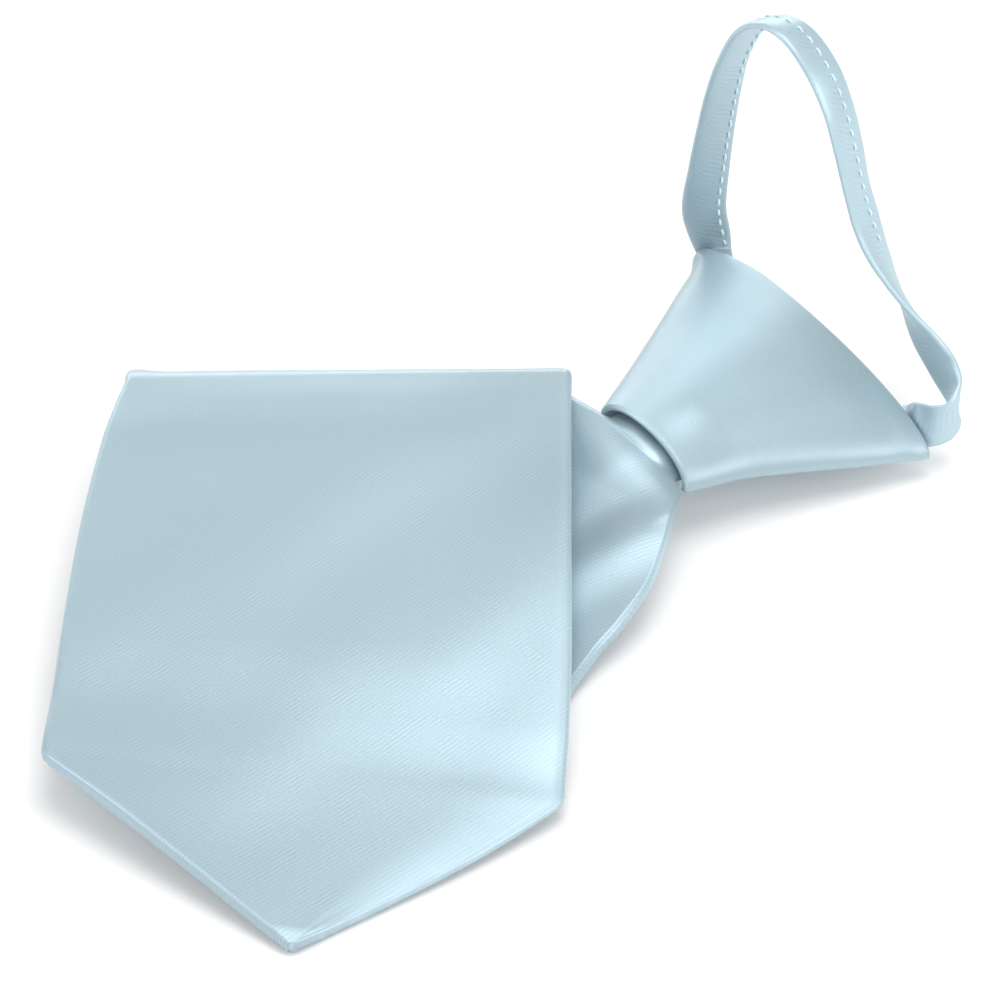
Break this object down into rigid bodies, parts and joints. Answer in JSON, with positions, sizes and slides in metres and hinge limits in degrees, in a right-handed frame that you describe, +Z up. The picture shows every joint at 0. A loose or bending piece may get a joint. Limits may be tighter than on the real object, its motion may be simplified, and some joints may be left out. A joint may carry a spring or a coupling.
{
  "type": "zipper tie",
  "caption": "Pre-tied satin necktie with a stitched neck strap and a hidden zip, lying folded with its strap standing in a loop.",
  "frame": {"origin": "under the middle of the whole tie, on the surface that it lies on", "axes": "+Z up, -Y towards the blade's tip and the viewer, +X towards the neck strap's bend"},
  "size_m": [0.1374, 0.1566, 0.0648],
  "materials": {
    "satin": "pale blue satin with a fine diagonal weave",
    "zip": "woven tape with moulded teeth in the same pale blue"
  },
  "bodies": {
    "root": {"blade": "satin", "knot": "satin", "neck_strap": "satin", "zipper": "zip"}
  },
  "joints": []
}
